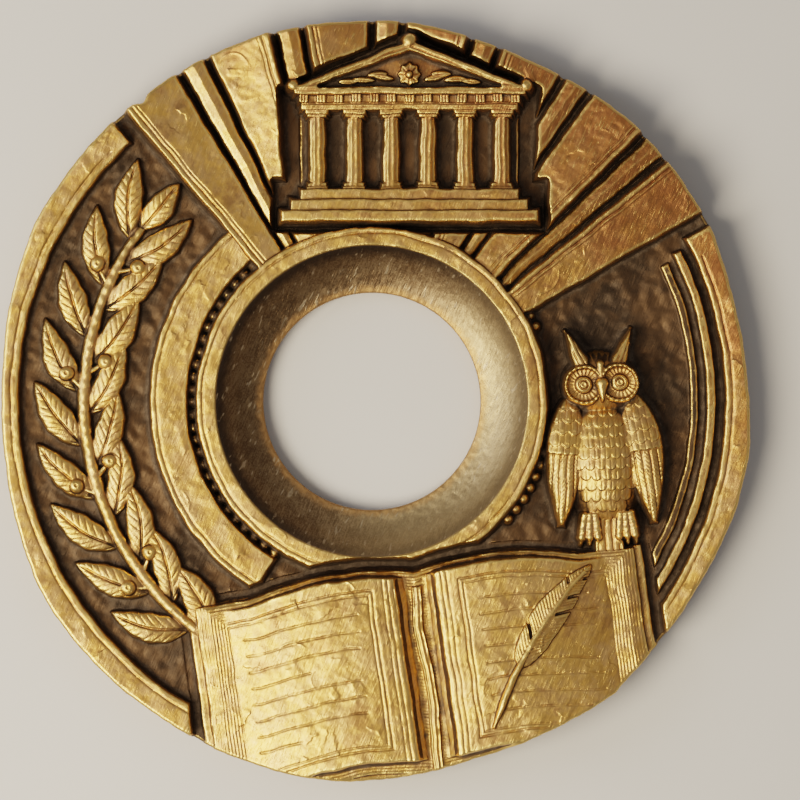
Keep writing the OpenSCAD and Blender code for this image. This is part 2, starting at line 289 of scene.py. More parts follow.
# --- laurel
def leaf(cx, cy, deg, length, half, ridge, side=0, base=3.0, rise=0.5, seed=0, veins=True):
    c, n = math.cos(math.radians(deg)), math.sin(math.radians(deg))
    ex, ey = cx + length * c, cy + length * n
    w = window(min(cx, ex) - half - 1, max(cx, ex) + half + 1, min(cy, ey) - half - 1, max(cy, ey) + half + 1)
    a, b = local(w, cx, cy, deg)
    rng = np.random.default_rng(500 + seed)
    bend = side * 0.35 + rng.uniform(-0.2, 0.2)
    t = np.clip(a / length, 0, 1)
    b = b - bend * (np.sin(np.pi * t) - 0.9 * t * t)
    wd = half * (0.97 + 0.06 * rng.uniform(-1, 1)) * pw(np.sin(np.pi * t ** 0.88), 0.82) + 1e-3
    wd = wd + 0.05 * np.sin(a * 3.1 + seed) * np.sin(np.pi * t)
    q = np.abs(b) / wd
    arch = pw(np.sin(np.pi * t), 0.5)
    f = base + rise * t + arch * ridge * (0.42 + 0.5 * np.sqrt(np.maximum(1 - q * q, 0)) - 0.16 * (1 - q))
    f = f + groove(b, 0.26, 0.10) * smooth(t, 0.0, 0.12) * smooth(0.97 - t, 0, 0.2)
    if veins:
        f = f - 0.08 * ridged(a - 1.05 * np.abs(b), 0.95, 0.13) * smooth(q, 0.1, 0.3) * smooth(1 - q, 0.0, 0.2)
    # flat distance past the outline, for the wall
    out = np.maximum(np.abs(b) - wd, np.maximum(-a, a - length))
    f = np.where(out > 0, base + arch * ridge * 0.3 + rise * t - 6 * out, f)
    add(w, f, 0.06)


da = (236 - 140) / 9
on = (ANG > 143) & (ANG < 238)
slim = 0.72 - 0.22 * smooth(160 - ANG, 0, 17)      # the stem thins towards its tip
tubes = np.where(on, 3.35 + np.sqrt(np.maximum(slim ** 2 - (RAD - 30.5) ** 2, 0)) * 1.1 - 5 * np.maximum(np.abs(RAD - 30.5) - slim, 0), 0)
tubes = tubes + 0.03 * np.sin(np.radians(ANG) * 30.5 * 5.5 + 1.5 * (RAD - 30.5)) * (tubes > 3.4)
for i in range(9):
    for side in (-1, 1):
        a = 236 - (i + 0.25 + 0.22 * side) * da
        px, py = 30.5 * math.cos(math.radians(a)), 30.5 * math.sin(math.radians(a))
        deg = a - 90 + side * 31
        c, n = math.cos(math.radians(deg)), math.sin(math.radians(deg))
        px, py = px - n * side * 0.5, py + c * side * 0.5
        leaf(px, py, deg, 8.6, 1.6, 1.45, side, 3.0, 0.45, seed=i * 2 + (side > 0))
for i in range(1, 9, 2):
    a = 236 - (i + 0.75) * da
    for rr, aa in ((32.5, a), (28.5, a - 0.3 * da)):
        px, py = rr * math.cos(math.radians(aa)), rr * math.sin(math.radians(aa))
        w = window(px - 2.6, px + 2.6, py - 2.6, py + 2.6)
        u, v = local(w, px, py)
        q = np.hypot(u, v)
        sx, sy = 30.5 * math.cos(math.radians(aa + 3)), 30.5 * math.sin(math.radians(aa + 3))
        d, t = sd_line(u, v, 0, 0, sx - px, sy - py)
        add(w, 3.7 + np.sqrt(np.maximum(0.06 - d * d, 0)) - 5 * np.maximum(d - 0.25, 0), 0.06)
        add(w, 3.75 + np.sqrt(np.maximum(0.92 ** 2 - q * q, 0)) * 0.95 - 6 * np.maximum(q - 0.92, 0) - 0.2 * np.exp(-(q / 0.14) ** 2), 0.06)
H = smax(H, tubes, 0.08)
a = 143
px, py = 30.5 * math.cos(math.radians(a)), 30.5 * math.sin(math.radians(a))
leaf(px - 0.2, py - 0.2, a - 94, 6.5, 1.5, 1.5, 0, 3.2, 0.4, seed=40)
LAYERS.append(("laurel", H.copy()))

# --- book
u, v = local(w_b, 4.5, -18.7, 8)
e = page_edge(u)
au = np.abs(u)


def grown(gs, gt, gb):
    return np.maximum(np.maximum(au - 22 - gs, v - e - gt), e - 19.5 - gb - v)


add(w_b, plateau(grown(2.3, 0.9, 2.3), 3.9, 0.14), 0.08)
dd = np.maximum(np.maximum(au - 22, v - e), e - 19.5 - v)
stack = 4.95 - 0.28 * np.clip(dd, 0, 2) + 0.10 * (np.abs((dd / 0.34) % 1 - 0.5) * 2 - 0.5)
stack_sd = grown(1.4, 0.7, 1.4)
add(w_b, np.where(stack_sd > 0, 4.3 - 6 * stack_sd, stack), 0.04)
z = 6.7 - (au - 7) ** 2 / 100
z = z + 0.05 * np.sin(v * 0.55 + u * 0.2)
z = smin(z, 7.0 - np.sqrt(np.maximum(2.25 ** 2 - u * u, 0)) + 6 * np.maximum(au - 2.25, 0), 0.2)
z = z - 0.09 * ridged(au - 0.9, 0.56, 0.16) * smooth(4.3 - au, 0, 1.2)
page_sd = np.maximum(np.maximum(au - 22, v - e), e - 19.5 - v)
for inset, deep in ((1.35, 0.15), (1.85, 0.1)):
    fr = np.maximum(np.maximum(au - 22 + inset, -(au - 4.6 - (inset - 1.35))), np.maximum(v - e + inset, e - 19.5 + inset - v))
    z = z + groove(fr, deep, 0.09)
# plain ruled lines on both pages
rng = np.random.default_rng(5)
for side in (-1, 1):
    for k in range(8):
        vk = -3.6 - 1.72 * k
        end = rng.uniform(10.5, 18.6) if k in (3, 7) else rng.uniform(18.0, 18.7)
        lo_u, hi_u = (-18.7, -18.7 + (end - 6.2)) if side < 0 else (6.3, end)
        z = z + groove(v - e * 0.8 - vk, 0.11, 0.10) * smooth(np.minimum(u - lo_u, hi_u - u), -0.05, 0.15)
add(w_b, plateau(page_sd, z, 0.12, 7.0), 0.04)
# ribbon
wave = 0.22 * np.sin(v * 0.42 + 0.6)
rb = np.maximum(np.abs(u - wave) - 0.5, np.maximum(v + 0.9, -v - 22.3 + 0.7 * (1 - np.abs(u - wave) / 0.5)))
add(w_b, plateau(rb, 5.35 + 0.08 * np.cos((u - wave) * 12), 0.08), 0.04)
# quill
qx, qy, qd = 12.6, -7.4, 52
c, n = math.cos(math.radians(qd)), math.sin(math.radians(qd))
a = (u - qx) * c + (v - qy) * n
b = (v - qy) * c - (u - qx) * n
b = b + 0.011 * (a + 2) ** 2 - 0.35
base = 6.65 - (au - 7) ** 2 / 100
t = np.clip((a + 4.3) / 13, 0, 1)
split = 0.22 * np.sin(a * 2.3 + 1) * np.sin(a * 0.9)
wd = 1.75 * pw(np.sin(np.pi * t ** 0.75), 0.6) * (1 + 0.12 * split) + 1e-3
q = np.abs(b) / wd
barb = -0.11 * ridged(a - 1.0 * np.abs(b), 0.44, 0.18)
vane = base + 0.42 + 0.35 * pw(1 - q, 0.7) + barb * smooth(q, 0.08, 0.22)
vane = np.where(q < 1, vane, base + 0.3 - 7 * (np.abs(b) - wd))
vane = np.where((a > -4.3) & (a < 8.7), vane, 0)
for ka, ks in ((-1.6, 1), (1.9, -1), (5.4, 1), (4.0, -1), (6.6, -1)):
    cut = np.abs(a - ka - 1.0 * np.abs(b)) < 0.13 + 0.06 * np.abs(b)
    vane = np.where(cut & (b * ks > 0.45), 0, vane)
add(w_b, vane, 0.03)
ta = np.clip((a + 11.3) / 19.5, 0, 1)
rs = 0.13 + 0.28 * smooth(a, -11.3, -8.5) * (1 - 0.55 * ta)
shaft = base + 0.52 + np.sqrt(np.maximum(rs * rs - b * b, 0)) * 1.25 - 6 * np.maximum(np.abs(b) - rs, 0)
shaft = np.where((a > -11.3) & (a < 7.9), shaft, 0)
add(w_b, shaft, 0.04)
LAYERS.append(("book", H.copy()))

# --- owl
OS = 1.1
w_o = window(17.0, 33.5, -18.5, 8)
x, y = local(w_o, 25, -12.6, 3, OS)


def owl_add(f, k=0.1):
    """Add a height in the owl's own scale above the ground."""
    H[w_o] = smax(H[w_o], GROUND + OS * f, k)


# tail
owl_add(plateau(sd_box(x, y, 0, -1.6, 1.35, 1.8), 1.75, 0.18) - 0.16 * ridged(x, 0.68, 0.13))
# body
q2 = (x / 4.25) ** 2 + ((y - 6) / 6.9) ** 2
body = -0.5 + 4.1 * np.sqrt(np.maximum(1 - q2, 0))
owl_add(np.where(q2 < 1, body, -1))
# rows of small feathers on the breast, each lapping over the one below
for row in range(10, -1, -1):
    yy = 10.9 - row * 1.02
    for col in range(-5, 6):
        xx = (col + 0.5 * (row % 2)) * 0.98
        q2c = (xx / 3.6) ** 2 + ((yy - 6) / 6.5) ** 2
        if q2c > 0.8:
            continue
        du, dv = x - xx, yy - y
        wf = 0.50 * np.sqrt(np.maximum(1 - np.clip((dv - 0.25) / 0.6, 0, 1) ** 2, 0)) + 1e-3
        inside = (np.abs(du) < wf) & (dv > -0.7) & (dv < 0.85)
        tile = body + 0.03 + 0.19 * np.clip((dv + 0.6) / 1.3, 0, 1) - 0.07 * (du / 0.5) ** 2
        tile = tile - 0.07 * np.exp(-(du / 0.07) ** 2) * smooth(dv, -0.3, 0.1)
        owl_add(np.where(inside, tile, -1), 0.03)
# folded wings with long feathers and small coverts
for s in (-1, 1):
    deg = 90 + s * 7
    c, n = math.cos(math.radians(deg)), math.sin(math.radians(deg))
    a = (x - s * 3.75) * c + (y - 5.9) * n + 6.3
    b = ((y - 5.9) * c - (x - s * 3.75) * n)
    t = np.clip(a / 12.6, 0, 1)
    wd = 1.95 * pw(np.sin(np.pi * t ** 1.35 * 0.985 + 0.03), 0.62) + 1e-3
    q = np.abs(b) / wd
    f = 1.6 + 1.55 * pw(np.sin(np.pi * np.clip(t * 0.9 + 0.1, 0, 1)), 0.6) * (0.35 + 0.65 * np.sqrt(np.maximum(1 - q * q, 0)))
    feather = -0.17 * ridged(b + s * 0.16 * (1 - t) * a * 0.35, 0.72, 0.11)
    barbs = -0.05 * ridged(a - 0.9 * np.abs((b / 0.72) % 1 - 0.5), 0.42, 0.2)
    scal = a + 0.42 * np.abs(np.cos(b * 2.6 + (np.floor(a / 1.15) % 2) * 1.57))
    covert = 0.16 * (1 - (scal / 1.15 % 1)) - 0.08 - 0.06 * ridged(b, 0.6, 0.1)
    f = f + np.where(t < 0.56, feather + barbs, covert)
    f = f + 0.18 * smooth(t, 0.54, 0.565)
    out = np.maximum(np.abs(b) - wd, np.maximum(-a, a - 12.6))
    f = np.where(out > 0, 1.9 - 6 * out, f)
    owl_add(f, 0.08)
# head
hx, hy = x, y - 13.1
q2 = (hx / 3.85) ** 2 + (hy / 3.35) ** 2
head = 0.2 + 3.55 * np.sqrt(np.maximum(1 - q2, 0))
head = head + 0.09 * np.cos(np.arctan2(hy, hx) * 30) * smooth(np.sqrt(q2), 0.55, 0.9)
owl_add(np.where(q2 < 1, head, -1))
for s in (-1, 1):
    # ear tuft
    deg = 90 - s * 24
    c, n = math.cos(math.radians(deg)), math.sin(math.radians(deg))
    a = (x - s * 1.5) * c + (y - 14.6) * n
    b = (y - 14.6) * c - (x - s * 1.5) * n
    t = np.clip(a / 4.0, 0, 1)
    wd = 0.95 * (1 - t) ** 0.7 * (0.6 + 0.4 * np.minimum(t * 4, 1)) + 1e-3
    q = np.abs(b) / wd
    f = 2.6 + 0.9 * np.sqrt(np.maximum(1 - q * q, 0)) * (1 - 0.4 * t) - 0.5 * t + groove(b - 0.2, 0.14, 0.07) + groove(b + 0.25, 0.14, 0.07)
    f = np.where((np.abs(b) > wd) | (a < 0) | (a > 4.0), 1.6 - 6 * np.maximum(np.abs(b) - wd, 0), f)
    owl_add(np.where((a > -0.2) & (a < 4.3), f, -1), 0.08)
    # face disc, a dish with fine rays and a raised ring
    d = np.hypot(x - s * 1.72, y - 13.15)
    th = np.arctan2(y - 13.15, x - s * 1.72)
    dish = 3.25 + 0.18 * (d / 1.9) ** 2 + 0.06 * np.cos(th * 22) * smooth(d, 0.8, 1.2)
    ring = dish + 0.34 * np.exp(-((d - 1.72) / 0.16) ** 2)
    ring = np.where(d > 1.95, 3.4 - 6 * (d - 1.95), ring)
    H[w_o] = np.where(d < 1.95, smax(H[w_o] * 0 + GROUND, GROUND + OS * ring, 0.05), H[w_o])
    # eye
    eye = 3.25 + 0.62 * np.sqrt(np.maximum(1 - (d / 0.88) ** 2, 0))
    eye = eye - 0.22 * np.exp(-((d - 0.42) / 0.08) ** 2) - 0.12 * np.exp(-(d / 0.18) ** 2)
    owl_add(np.where(d < 0.88, eye, -1), 0.04)
    # feet with claws, over the edge of the book
    for k in (-0.8, 0, 0.8):
        d, t = sd_line(x, y, s * 1.75 + k * 0.6, 0.6, s * 1.8 + k, -1.5)
        f = 1.75 + np.sqrt(np.maximum(0.42 ** 2 - d * d, 0)) * 1.2 - 6 * np.maximum(d - 0.42, 0) - 0.1 * np.abs(np.sin(t * 9))
        owl_add(f, 0.06)
        d, t = sd_line(x, y, s * 1.8 + k, -1.4, s * 1.85 + k * 1.05, -2.2)
        f = 1.95 + np.sqrt(np.maximum(0.26 ** 2 - d * d, 0)) - 0.5 * t - 6 * np.maximum(d - 0.26 * (1 - 0.6 * t), 0)
        owl_add(f, 0.04)
# brow between the discs and the beak
d, t = sd_line(x, y, 0, 15.0, 0, 13.2)
owl_add(3.45 + 0.3 * np.exp(-(d / 0.3) ** 2) - 4 * np.maximum(d - 0.35, 0), 0.06)
d, t = sd_line(x, y, 0, 13.1, 0, 11.4)
wd = 0.62 * (1 - t) ** 0.7 + 0.02
owl_add(3.5 + 0.75 * np.sqrt(np.maximum(1 - (d / wd) ** 2, 0)) * (1 - 0.3 * t) - 5 * np.maximum(d - wd, 0), 0.04)
LAYERS.append(("owl", H.copy()))

# --- marks of the mould and of the file, the same on every layer
on_fine = np.zeros_like(H)
on_fine[w_o] = 1.0
on_fine = on_fine * (H > 4.0)
on_fine[w_t] = np.maximum(on_fine[w_t], 0.6 * (t_room < 0))
fine = 1 - 0.75 * np.clip(blur(on_fine, 0.5), 0, 1)
MARKS = fine * (0.022 * noise(30, 3.0, 9.0) + 0.009 * noise(31, 0.9, 2.6))
rng = np.random.default_rng(77)
for i in range(1500):
    px, py = rng.uniform(-40, 40, 2)
    r = float(rng.choice([0.16, 0.24, 0.45, 0.85], p=[0.45, 0.33, 0.16, 0.06]))
    deep = r * rng.uniform(0.07, 0.16) * (0.45 if r > 0.4 else 1.0)
    st = rng.uniform(0.7, 1.5)
    w = window(px - 3 * r, px + 3 * r, py - 3 * r, py + 3 * r)
    dx, dy = X0[w] - px, Y0[w] - py
    MARKS[w] -= fine[w] * deep * np.exp(-((dx / (r * st)) ** 2 + (dy * st / r) ** 2) * 1.6)
# thin raised burrs left by cracks in the mould
for i in range(70):
    px, py = rng.uniform(-38, 38, 2)
    r, a0, span = rng.uniform(0.5, 2.2), rng.uniform(0, 360), rng.uniform(40, 150)
    w = window(px - r - 1, px + r + 1, py - r - 1, py + r + 1)
    dx, dy = WX[w] - px, WY[w] - py
    off = np.abs((np.degrees(np.arctan2(dy, dx)) - a0 + 180) % 360 - 180)
    taper = smooth(span / 2 - off, 0, 25)
    MARKS[w] += fine[w] * rng.uniform(0.03, 0.075) * taper * np.exp(-((np.hypot(dx, dy) - r) / 0.09) ** 2)
# flakes of the modelling wax on the broad places: a sharp step on one side that fades out behind it
broad = fine * smooth(0.24 - np.abs(blur(H, 0.7) - H), 0, 0.15) * smooth(H, 4.1, 4.5)
rng = np.random.default_rng(78)
for i in range(420):
    px, py = rng.uniform(-39, 39, 2)
    deg, half = rng.uniform(0, 360), rng.uniform(0.35, 1.5)
    tall, back = rng.uniform(0.05, 0.11), rng.uniform(0.4, 1.5)
    w = window(px - 4.5, px + 4.5, py - 4.5, py + 4.5)
    ahead, across = local(w, px, py, deg)
    ahead = ahead + 0.3 * across * across / half + 0.13 * np.sin(across * 3.4 + i) + 0.05 * np.sin(across * 9.1 + 2 * i)
    shape = smooth(ahead, -0.05, 0.05) * np.exp(-np.maximum(ahead, 0) / back) * smooth(1 - np.abs(across) / half, 0, 0.5)
    MARKS[w] += broad[w] * tall * shape
WEAR = np.clip(0.35 + 0.25 * noise(33, 1.2, 6), 0.05, 0.9)
Z_MOUTH = 8.9 - np.sqrt(np.maximum(7.17 ** 2 - (R_TRUE - 10.03) ** 2, 0)) + 0.012 * noise(34, 0.8, 3)
Z_MOUTH = np.where(R_TRUE < 17.2, Z_MOUTH, 99)
Z_MOUTH = np.where(R_TRUE < 10.03, 1.73, Z_MOUTH)


def finished(F):
    """A layer with its marks, its edges worn a little softer here and there, and the mouth cut."""
    F = F + MARKS
    F = F + (blur(F, 0.11) - F) * WEAR
    return blur(smin(F, Z_MOUTH, 0.09), 0.025)


TOPS = {name: finished(F) for name, F in LAYERS}
NAMES = [name for name, F in LAYERS]
del LAYERS
H = TOPS["owl"]
# ---------------------------------------------------------------- relief end


# ---------------------------------------------------------------- meshes
FLATS = ((180, 1.1, 52), (290, 0.9, 55), (66, 0.6, 58), (10, 0.6, 58), (325, 0.7, 60))
R_IN = 11.6
RE = 0.34                                # rounding of the top edge at the rim
BURIED = 2.15                            # the motifs' undersides, inside the disc


def outline(theta):
    """Radius of the trimmed edge, as the CAD has it, with a hand-filed unevenness."""
    r = np.full_like(theta, 40.5)
    for way, depth, flat in FLATS:
        c = 40.5 - depth - flat
        ec = c * np.cos(theta - math.radians(way))
        r = np.minimum(r, ec + np.sqrt(ec * ec - c * c + flat * flat))
    ragged = sum(a * np.sin(k * theta + p) for k, a, p in ((7, 0.05, 0.4), (13, 0.04, 2.1), (23, 0.03, 4.0), (41, 0.018, 1.0), (67, 0.012, 3.0), (113, 0.008, 0.5)))
    # a small nick filed into the edge at the upper left
    nick = (theta - math.radians(127.4)) * 40
    return r - 0.14 + ragged - 0.55 * np.exp(-(nick / 0.7) ** 2)


def bulge(theta, z):
    """How far the rim's wall stands off the outline: a slight draft and file marks."""
    return -0.03 + 0.12 * (6.5 - z) / 6.5 + 0.014 * np.sin(theta * 157) + 0.012 * np.sin(theta * 71 + 1)


def sample(field, x, y):
    fx = np.clip((x + HALF) / STEP, 0, NS - 1.001)
    fy = np.clip((y + HALF) / STEP, 0, NS - 1.001)
    i, j = fy.astype(int), fx.astype(int)
    ty, tx = fy - i, fx - j
    return (field[i, j] * (1 - tx) + field[i, j + 1] * tx) * (1 - ty) + (field[i + 1, j] * (1 - tx) + field[i + 1, j + 1] * tx) * ty


def to_mesh(name, co, quads):
    """A mesh in millimetres, which dress() brings to metres at the end."""
    me = bpy.data.meshes.new(name)
    me.vertices.add(len(co))
    me.vertices.foreach_set("co", co.reshape(-1).astype(np.float32))
    me.loops.add(quads.size)
    me.loops.foreach_set("vertex_index", quads.reshape(-1).astype(np.int32))
    me.polygons.add(len(quads))
    me.polygons.foreach_set("loop_start", np.arange(0, quads.size, 4, dtype=np.int32))
    me.update(calc_edges=True)
    return me


def lighter(ob, budget):
    """Merges the flat places until the piece has its budget of triangles."""
    mod = ob.modifiers.new("lighter", "DECIMATE")
    mod.decimate_type = "COLLAPSE"
    mod.ratio = min(1.0, budget / (2 * len(ob.data.polygons)))
    mod.use_collapse_triangulate = True
    dg = bpy.context.evaluated_depsgraph_get()
    light = bpy.data.meshes.new_from_object(ob.evaluated_get(dg))
    ob.modifiers.clear()
    old, ob.data = ob.data, light
    bpy.data.meshes.remove(old)
    light.name = ob.name


def closed_below(ob):
    """Gives an open sheet walls down into the disc, and a flat underside."""
    bm = bmesh.new()
    bm.from_mesh(ob.data)
    rim = [e for e in bm.edges if e.is_boundary]
    feet = [v for v in bmesh.ops.extrude_edge_only(bm, edges=rim)["geom"] if isinstance(v, bmesh.types.BMVert)]
    for v in feet:
        v.co.z = BURIED
    bmesh.ops.remove_doubles(bm, verts=feet, dist=0.01)
    low = [e for e in bm.edges if e.is_boundary]
    bmesh.ops.triangle_fill(bm, use_beauty=False, use_dissolve=False, edges=low)
    bmesh.ops.recalc_face_normals(bm, faces=bm.faces[:])
    still_open = sum(len(e.link_faces) != 2 for e in bm.edges)
    bm.to_mesh(ob.data)
    bm.free()
    return still_open


H_FAR, H_NEAR, H_FOOT = blur(H, 1.1), blur(H, 0.18), blur(H, 0.42)
PIECES = []


def lay_out(me, pts, top, whole):
    """A map for the finish: the face as seen from above with the rim's wall folded out, and what is
    hidden or behind in the widest gap that this leaves. whole is true for the disc, which has a back."""
    start = np.empty(len(me.polygons), np.int32)
    me.polygons.foreach_get("loop_start", start)
    count = np.diff(np.append(start, len(me.loops)))
    vi = np.empty(len(me.loops), np.int32)
    me.loops.foreach_get("vertex_index", vi)
    p = pts[vi]
    r, th = np.hypot(p[:, 0], p[:, 1]), np.arctan2(p[:, 1], p[:, 0])
    rim = outline(th) - RE
    lip = sample(top, rim * np.cos(th), rim * np.sin(th))
    rho = r + np.where(r > rim, np.maximum(lip - p[:, 2], 0), 0)
    if whole:
        rho = np.where(r < R_IN + 0.03, R_IN - 0.4 * np.maximum(1.75 - p[:, 2], 0), rho)
        behind = np.repeat(np.maximum.reduceat(p[:, 2], start) < 0.31, count)
        out = float(rho[~behind].max())
        low, size, at, gap = -out, 2 * out, 0.5, 10.6 / out
        back = np.stack([-p[:, 0], p[:, 1]], -1) / 81.4
    else:
        behind = np.repeat(np.minimum.reduceat(p[:, 2], start) < BURIED + 0.001, count)
        flat = np.stack([rho * np.cos(th), rho * np.sin(th)], -1)[~behind]
        low, size = flat.min(0) - 0.1, np.ptp(flat, axis=0) + 0.2
        n = 96
        cell = np.clip(((flat - low) / size * n).astype(int), 0, n - 1)
        busy = np.zeros((n + 2, n + 2), bool)
        busy[cell[:, 0] + 1, cell[:, 1] + 1] = True
        busy |= np.roll(busy, 1, 0) | np.roll(busy, -1, 0) | np.roll(busy, 1, 1) | np.roll(busy, -1, 1)
        free = np.zeros((n + 2, n + 2), int)
        for i in range(1, n + 1):
            for j in range(1, n + 1):
                if not busy[i, j]:
                    free[i, j] = 1 + min(free[i - 1, j], free[i, j - 1], free[i - 1, j - 1])
        i, j = np.unravel_index(free.argmax(), free.shape)
        gap = (free[i, j] - 1) / n
        at = (np.array([i, j]) - free[i, j] / 2) / n
        back = np.stack([-p[:, 0] + 0.6 * p[:, 2], p[:, 1] + 0.45 * p[:, 2]], -1)
        lo, hi = back[behind].min(0), back[behind].max(0)
        back = (back - (lo + hi) / 2) / (hi - lo).max()
    uv = np.where(behind[:, None], at + gap * back, (np.stack([rho * np.cos(th), rho * np.sin(th)], -1) - low) / size)
    me.uv_layers.new(name="OFBake").uv.foreach_set("vector", uv.astype(np.float32).reshape(-1))
    return round(float(gap), 3)


def dress(ob, top, whole=False):
    """What each point is like, sunk or proud, and normals from the fine height field."""
    me = ob.data
    n_v = len(me.vertices)
    pts = np.empty(n_v * 3, np.float32)
    me.vertices.foreach_get("co", pts)
    pts = pts.reshape(-1, 3).astype(np.float64)
    r = np.hypot(pts[:, 0], pts[:, 1])
    th = np.arctan2(pts[:, 1], pts[:, 0])
    rim = outline(th)
    on_top = (np.abs(sample(top, pts[:, 0], pts[:, 1]) - pts[:, 2]) < 0.35) & (pts[:, 2] > 1.2) & (r < rim - RE + 0.01)
    buried = (pts[:, 2] < BURIED + 0.001) & (r < rim - 0.15) & (not whole)
    lip = sample(top, (rim - RE) * np.cos(th), (rim - RE) * np.sin(th))
    worn = 0.01 + 0.075 * np.clip(1 - (lip - pts[:, 2]) / 0.45, 0, 1) * (pts[:, 2] > 1.2)     # the rim's top edge
    for name, field, sign in (("cavity", H_FAR, 1), ("foot", H_FOOT, 1), ("edge", H_NEAR, -1)):
        value = np.where(on_top, sign * (sample(field, pts[:, 0], pts[:, 1]) - pts[:, 2]), worn * (name == "edge"))
        value = np.where(buried, sign * 1.0, value)
        me.attributes.new(name, "FLOAT", "POINT").data.foreach_set("value", value.astype(np.float32))
    skin = ((r > rim - 0.12) | (pts[:, 2] < 0.31)) & ~buried
    me.attributes.new("rim", "FLOAT", "POINT").data.foreach_set("value", skin.astype(np.float32))
    me.polygons.foreach_set("use_smooth", np.ones(len(me.polygons), bool))
    me.update()
    gap = lay_out(me, pts, top, whole)
    vn = np.empty(n_v * 3, np.float32)
    me.vertices.foreach_get("normal", vn)
    vn = vn.reshape(-1, 3)
    gy, gx = np.gradient(top, STEP)
    nx, ny = -sample(gx, pts[:, 0], pts[:, 1]), -sample(gy, pts[:, 0], pts[:, 1])
    fn = np.stack([nx, ny, np.ones_like(nx)], -1)
    fn /= np.linalg.norm(fn, axis=1, keepdims=True)
    inner = on_top & (r < rim - RE - 0.06) & (r > R_IN + 0.12)
    vn = np.where(inner[:, None], fn, vn)
    # the rim's wall runs on from piece to piece, so its normals come from its own formula
    d = 0.002
    z = pts[:, 2]
    dr = (outline(th + d) + bulge(th + d, z) - outline(th - d) - bulge(th - d, z)) / (2 * d * r)
    wn = np.stack([np.cos(th) + dr * np.sin(th), np.sin(th) - dr * np.cos(th), np.full_like(th, 0.018)], -1)
    wn /= np.linalg.norm(wn, axis=1, keepdims=True)
    on_wall = (r > rim - 0.08) & (z > 0.4) & (z < lip - RE - 0.03)
    vn = np.where(on_wall[:, None], wn, vn)
    vn = np.where((z < 0.0005)[:, None], (0.0, 0.0, -1.0), vn)
    me.transform(Matrix.Scale(0.001, 4))
    me.normals_split_custom_set_from_vertices(vn.tolist())
    PIECES.append(ob)
    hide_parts("medal")
    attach(ob, "root")
    print("piece", ob.name, "triangles", sum(len(q.vertices) - 2 for q in me.polygons), "gap in its map", gap)


def new_object(name, mesh):
    ob = bpy.data.objects.new(name, mesh)
    bpy.context.scene.collection.objects.link(ob)
    return ob


# --- the disc: hole, mouth, collar, lips, rim wall and back, in rings round the middle
top = TOPS["disc"]
covered = smooth(blur((H - top > 0.25).astype(np.float32), 0.15), 0.94, 0.999)
top_d = top * (1 - covered) + 2.5 * covered
NT, NR = 2600, 280
theta = np.linspace(0, 2 * math.pi, NT, endpoint=False)
R_OUT = outline(theta)
rings = [(np.full(NT, R_IN), np.full(NT, z)) for z in (0.14, 0.7, 1.3, 1.7)]
rings.append((np.full(NT, R_IN + 0.01), sample(top_d, (R_IN + 0.01) * np.cos(theta), (R_IN + 0.01) * np.sin(theta)) - 0.05))
for k in range(NR):
    r = R_IN + (R_OUT - RE - R_IN) * (k + 0.4) / NR
    rings.append((r, sample(top_d, r * np.cos(theta), r * np.sin(theta))))
edge_z = sample(top_d, (R_OUT - RE) * np.cos(theta), (R_OUT - RE) * np.sin(theta))
for k in range(1, 6):
    a = math.radians(18 * k)
    z = edge_z - RE + RE * math.cos(a)
    rings.append((R_OUT + bulge(theta, z) * math.sin(a) - RE + RE * math.sin(a), z))
for k in range(1, 10):
    z = (edge_z - RE) * (1 - k / 9) + 0.3 * k / 9
    rings.append((R_OUT + bulge(theta, z), z))
for k in range(1, 4):
    a = math.radians(30 * k)
    rings.append((R_OUT - 0.03 - 0.3 + 0.3 * math.cos(a), np.full(NT, 0.3 - 0.3 * math.sin(a))))
for k in range(1, 9):
    rings.append(((R_OUT - 0.33) * (1 - k / 9) + 11.74 * k / 9, np.zeros(NT)))
rings.append((np.full(NT, 11.74), np.zeros(NT)))
co = np.empty((len(rings), NT, 3))
for k, (r, z) in enumerate(rings):
    co[k, :, 0], co[k, :, 1], co[k, :, 2] = r * np.cos(theta), r * np.sin(theta), z
k, j = np.meshgrid(np.arange(len(rings)), np.arange(NT), indexing="ij")
k2, j2 = (k + 1) % len(rings), (j + 1) % NT
quads = np.stack([k * NT + j, k2 * NT + j, k2 * NT + j2, k * NT + j2], -1).reshape(-1, 4)
disc = new_object("medal_disc", to_mesh("medal_disc", co.reshape(-1, 3), quads))
lighter(disc, 185000)
dress(disc, top_d, True)


